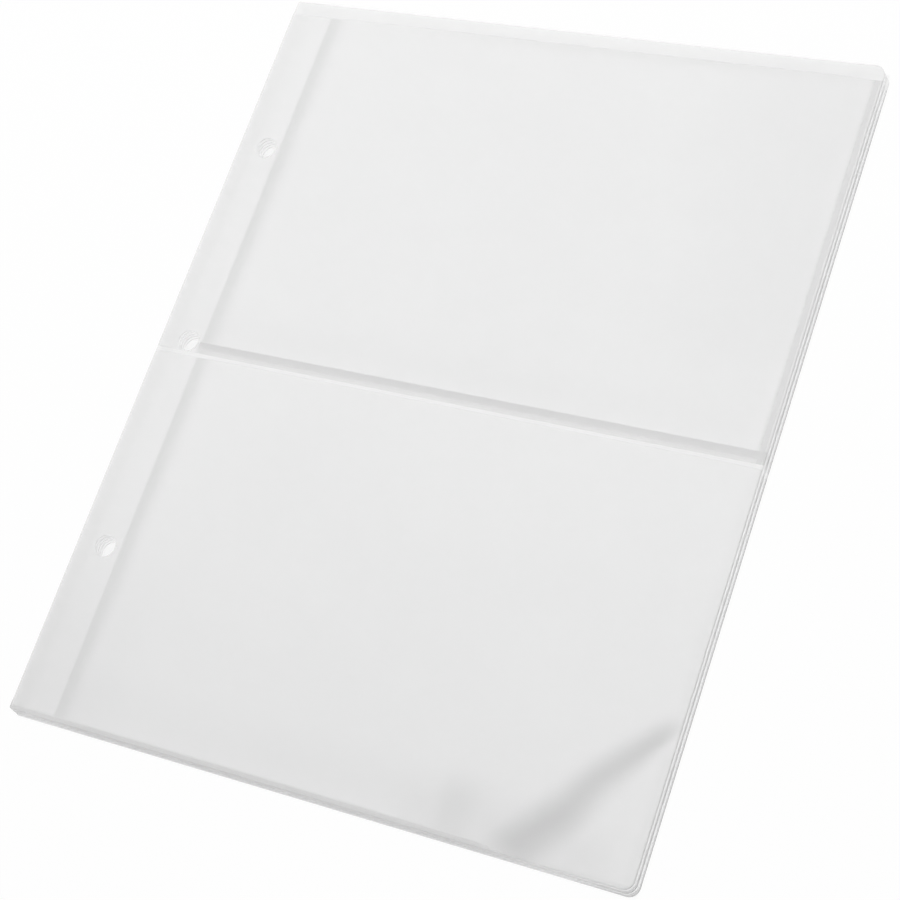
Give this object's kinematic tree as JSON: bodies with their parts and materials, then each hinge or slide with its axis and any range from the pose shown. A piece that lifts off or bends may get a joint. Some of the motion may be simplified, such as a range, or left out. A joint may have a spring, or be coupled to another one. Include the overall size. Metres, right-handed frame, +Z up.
{
  "type": "banknote album page",
  "caption": "Stack of loose clear plastic album pages for banknotes, each with an upper and a lower pocket open at the top and a punched binding strip along its left edge.",
  "frame": {"origin": "on the table, under the middle of the stack's outline", "axes": "+X from the binding edge to the outer edge, +Y to the top of the page, +Z up through the stack"},
  "size_m": [0.201, 0.2508, 0.0042],
  "materials": {
    "strip_film": "clear, glossy",
    "back_film": "clear, glossy",
    "pocket_film": "clear, glossy",
    "weld": "clear, pressed"
  },
  "bodies": {
    "page_1": {"page_1_binding_strip": "strip_film", "page_1_back_film": "back_film", "page_1_lower_pocket_film": "pocket_film", "page_1_upper_pocket_film": "pocket_film", "page_1_lower_weld": "weld", "page_1_upper_weld": "weld"},
    "page_2": {"page_2_binding_strip": "strip_film", "page_2_back_film": "back_film", "page_2_lower_pocket_film": "pocket_film", "page_2_upper_pocket_film": "pocket_film", "page_2_lower_weld": "weld", "page_2_upper_weld": "weld"},
    "page_3": {"page_3_binding_strip": "strip_film", "page_3_back_film": "back_film", "page_3_lower_pocket_film": "pocket_film", "page_3_upper_pocket_film": "pocket_film", "page_3_lower_weld": "weld", "page_3_upper_weld": "weld"},
    "page_4": {"page_4_binding_strip": "strip_film", "page_4_back_film": "back_film", "page_4_lower_pocket_film": "pocket_film", "page_4_upper_pocket_film": "pocket_film", "page_4_lower_weld": "weld", "page_4_upper_weld": "weld"},
    "page_5_strip": {"page_5_binding_strip": "strip_film"},
    "page_5_panel": {"page_5_back_film": "back_film", "page_5_lower_pocket_film": "pocket_film", "page_5_upper_pocket_film": "pocket_film", "page_5_lower_weld": "weld", "page_5_upper_weld": "weld"}
  },
  "joints": [
    {"name": "page_2_lift", "type": "slide", "parent": "page_1", "child": "page_2", "axis": [0, 0, 1], "range_m": [0, 0.05]},
    {"name": "page_3_lift", "type": "slide", "parent": "page_2", "child": "page_3", "axis": [0, 0, 1], "range_m": [0, 0.05]},
    {"name": "page_4_lift", "type": "slide", "parent": "page_3", "child": "page_4", "axis": [0, 0, 1], "range_m": [0, 0.05]},
    {"name": "page_5_lift", "type": "slide", "parent": "page_4", "child": "page_5_strip", "axis": [0, 0, 1], "range_m": [0, 0.05]},
    {"name": "page_5_fold", "type": "hinge", "parent": "page_5_strip", "child": "page_5_panel", "pos_m": [-0.086, 0, 0.0042], "axis": [0, -1, 0], "range_deg": [0, 180]}
  ]
}
